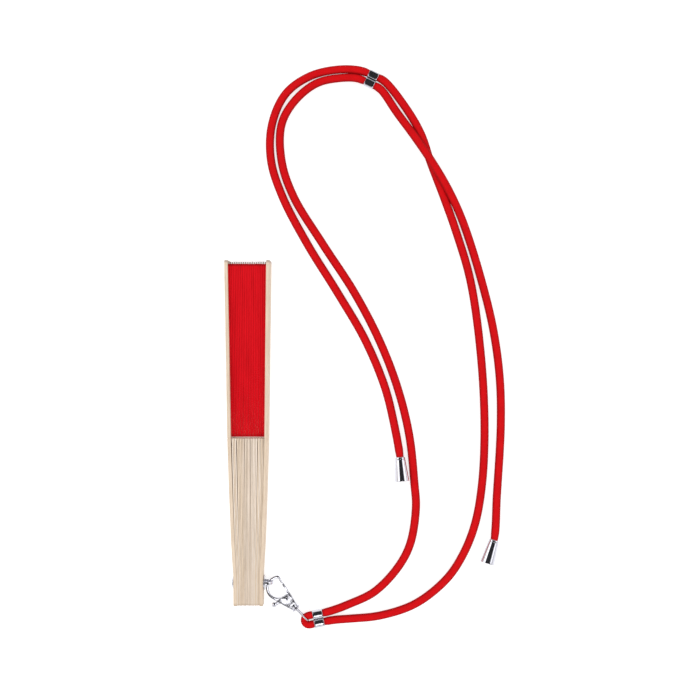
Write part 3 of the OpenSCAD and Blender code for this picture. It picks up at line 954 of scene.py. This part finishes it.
def clipped(outline, low, high):
    """The part of an outline whose x is between low and high."""
    for sign, limit in ((1, low), (-1, high)):
        kept = []
        for p, q in zip(outline, outline[1:] + outline[:1]):
            inside_p, inside_q = sign * (p[0] - limit) >= 0, sign * (q[0] - limit) >= 0
            if inside_p:
                kept.append(p)
            if inside_p != inside_q:
                t = (limit - p[0]) / (q[0] - p[0])
                kept.append((limit, p[1] + (q[1] - p[1]) * t))
        outline = kept
    return outline


inner_from = angle_of(from_line(10.75, 1.55))
inner_to = angle_of(from_line(22.6, 1.55))
outer_from = angle_of(from_line(23.93, 0))
c_outline = [from_line(0, 0), from_line(8.9, 0), from_line(8.9, 1.55), from_line(10.75, 1.55)]
c_outline += arc(HOOK_C, HOOK_IN, inner_from + 360, inner_to + 2, 44)
c_outline += [from_line(22.2, 1.55), from_line(18.7, 1.55), from_line(18.5, 1.45)]
c_outline += [from_line(18.0, 0.2), from_line(18.2, 0)]
c_outline += [from_line(23.3, 0)] + arc(HOOK_C, HOOK_OUT, outer_from + 4, 104, 40)
c_outline += [(8, 4.6), (0, 2.4)]

clasp = Parts(CLASP)
clasp.plate(clipped(c_outline, 11.3, 40), -1.1, 1.1, 0.42)
clasp.plate(clipped(c_outline, 3.9, 12.1), 0.6, 1.5, 0.28)
clasp.plate(clipped(c_outline, 3.9, 12.1), -1.5, -0.6, 0.28)
clasp.plate(clipped(c_outline, 0, 4.3), -1.5, 1.5, 0.35)
ALONG_U = ((0, 0, 0), (1, 0, 0), (0, 1, 0), (0, 0, 1))
collar = [(-0.2, 0.86), (-0.2, 2.1), (-0.08, 2.25), (0.1, 2.3), (0.9, 2.3), (1.0, 2.18)]
collar += [(1.3, 2.18), (1.4, 2.3), (2.1, 2.28), (2.4, 2.1), (2.4, 0.86)]
clasp.turned(collar, ALONG_U)
clasp.piece("clasp_hook", NICKEL, "clasp", "chrome_metal", "clasp_body", smooth=40)

pin = Parts(CLASP)
ACROSS = ((0, 0, 1), (1, 0, 0), (0, 1, 0))
rod = [(-1.6, 0.02), (-1.6, 0.5), (-1.52, 0.85), (-1.45, 0.95), (-1.36, 0.8)]
rod += [(-u, r) for u, r in reversed(rod)]
pin.turned(rod, (PIVOT, *ACROSS), 32)
pin.piece("clasp_pin", CHROME, "clasp", "chrome_metal", "gate_pin")

spring = Parts(CLASP)
bend = [(4.35, -1.6), (4.6, -1.3), (5.0, -0.8), (5.35, -0.2), (5.0, 0.4), (4.6, 0.9), (4.35, 1.2)]
spring.rings([[(x, y, z) for x, z in thicken([(bx, 0), (bx + 0.2, 0)], 0.8)] for bx, y in bend])
spring.piece("clasp_spring", NICKEL, "clasp", "chrome_metal", "gate_spring")

gate = Parts(CLASP)
bar = [(9.0, 0.15), (9.15, 0.0), (17.6, 0.0), (17.8, 0.2)]
bar += [(17.8, 1.3), (17.6, 1.45), (9.2, 1.45), (9.0, 1.3)]
bar = [from_line(s, n) for s, n in bar]
gate.plate(clipped(bar, 11.4, 40), -1.1, 1.1, 0.3)
gate.plate(bar, -0.45, 0.45, 0.12)
arm = [(6.7, -1.6), (8.6, -4.2), (9.2, -4.25), (10.3, -3.6), (9.7, -1.9), (9.75, -0.6)]
arm += [(9.6, 0.6), (11.0, 4.0), (12.0, 7.4), (11.6, 8.4), (10.9, 8.7), (10.3, 8.4)]
arm += [(9.2, 5.6), (8.0, 2.6), (6.9, 1.5), (6.0, 0.4), (5.95, -0.6)]
gate.plate(arm, -0.45, 0.45, 0.12)
knob = [(-1.3, 0.02), (-1.3, 1.3), (-1.2, 1.55), (-1.0, 1.68), (-0.35, 1.7), (-0.25, 1.62)]
knob += [(0.05, 1.62), (0.15, 1.7), (0.45, 1.68), (0.6, 1.56), (1.24, 0.25), (1.3, 0.02)]
gate.turned(knob, (KNOB, *ACROSS), 40)
gate.piece("clasp_lever", NICKEL, "gate", "chrome_metal", "clasp_gate", smooth=40)

# ---------------------------------------------------------------- swivel eye
eye = Parts(CLASP)
post = [(-1.2, 0.02), (-1.2, 0.8), (1.15, 0.8), (1.15, 1.2), (2.0, 1.2), (2.05, 1.1), (2.05, 0.02)]
eye.turned(post, ALONG_U, 32)
crown = [(-1.5, 0.02), (-1.5, 2.5), (-1.42, 2.9), (-1.25, 3.06), (-1.05, 3.1), (-0.95, 2.98)]
crown += [(-0.85, 2.98), (-0.75, 3.1), (-0.6, 3.04), (-0.45, 2.8), (-0.4, 2.4), (-0.4, 0.02)]
eye.turned(crown, ALONG_U)
EYE_HALF, EYE_END, WIRE_R = 2.42, -10.4, 0.52
wire_path = [(u, EYE_HALF) for u in (-0.9, -3, -5, -7, -9)]
for a in range(0, 181, 10):
    t = math.radians(a)
    wire_path.append((EYE_END - EYE_HALF * math.sin(t), EYE_HALF * math.cos(t)))
wire_path += [(u, -EYE_HALF) for u in (-9, -7, -5, -3, -0.9)]
wire = []
for k, (u, w) in enumerate(wire_path):
    u0, w0 = wire_path[max(k - 1, 0)]
    u1, w1 = wire_path[min(k + 1, len(wire_path) - 1)]
    along = Vector((u1 - u0, 0, w1 - w0)).normalized()
    out = along.cross(Vector((0, 1, 0)))
    ring = []
    for t in range(16):
        sideways = out * WIRE_R * math.cos(t * math.pi / 8)
        upward = Vector((0, 1, 0)) * WIRE_R * math.sin(t * math.pi / 8)
        ring.append(Vector((u, 0, w)) + sideways + upward)
    wire.append(ring)
eye.rings(wire)
eye.piece("swivel_wire_eye", CHROME, "lanyard", "chrome_metal", "swivel_eye", smooth=40)

# The pin is the one CAD node that still shows, between the sticks.
pin_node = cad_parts["rivet_pin"]
pin_node.data.materials.clear()
pin_node.data.materials.append(NICKEL)

# ---------------------------------------------------------------- floor and light
floor_mesh = bpy.data.meshes.new("floor")
FLOOR_Z = -0.0002
corners = [(x, y, FLOOR_Z) for x, y in ((-3, -3), (3, -3), (3, 3), (-3, 3))]
floor_mesh.from_pydata(corners, [], [(0, 1, 2, 3)])
floor = bpy.data.objects.new("floor", floor_mesh)
bpy.context.scene.collection.objects.link(floor)
paper = Nodes("floor_white")
paper.set(Base_Color=(0.55, 0.55, 0.55, 1), Roughness=0.9, Specular_IOR_Level=0.1)
paper.set(Emission_Color=WHITE, Emission_Strength=0.62)
floor_mesh.materials.append(paper.material)

world = bpy.data.worlds.new("studio")
bpy.context.scene.world = world
world.use_nodes = True
world.node_tree.nodes["Background"].inputs["Color"].default_value = WHITE
world.node_tree.nodes["Background"].inputs["Strength"].default_value = 0.88


def softbox(name, place, size, power):
    """A soft rectangular light, turned to the table under the camera."""
    data = bpy.data.lights.new(name, "AREA")
    data.shape = "RECTANGLE"
    data.size, data.size_y = size
    data.energy = power
    obj = bpy.data.objects.new(name, data)
    bpy.context.scene.collection.objects.link(obj)
    obj.location = place
    aim = Vector((camera.location.x, camera.location.y, 0)) - obj.location
    obj.rotation_euler = aim.to_track_quat("-Z", "Y").to_euler()


softbox("soft_left", (-1.3, 0.3, 1.3), (1.2, 1.6), 9)
softbox("soft_right", (1.5, 0.2, 1.2), (1.0, 1.6), 5)
softbox("soft_front", (0.1, -1.3, 1.5), (1.6, 0.9), 5)
softbox("soft_window", (RIVET.x + 0.15, RIVET.y - 0.65, 1.8), (0.5, 0.5), 1.8)

# A dark card over the camera, with a window above the clasp. Only polished metal reflects it.
CARD_Z = 1.5
card_mesh = bpy.data.meshes.new("dark_card")
xs = (-1.5, RIVET.x, RIVET.x + 0.3, 1.7)
ys = (-1.7, RIVET.y - 0.7, RIVET.y - 0.42, 2.5)
card_mesh.from_pydata(
    [(x, y, CARD_Z) for y in ys for x in xs],
    [],
    [(k, k + 1, k + 5, k + 4) for k in (0, 1, 2, 4, 6, 8, 9, 10)],
)
card = bpy.data.objects.new("dark_card", card_mesh)
bpy.context.scene.collection.objects.link(card)
black = Nodes("card_black")
black.set(Base_Color=(0.01, 0.01, 0.012, 1), Roughness=0.9)
card_mesh.materials.append(black.material)
card.visible_camera = False
card.visible_diffuse = False
card.visible_shadow = False
card.visible_transmission = False

bpy.context.scene.view_settings.view_transform = "Standard"
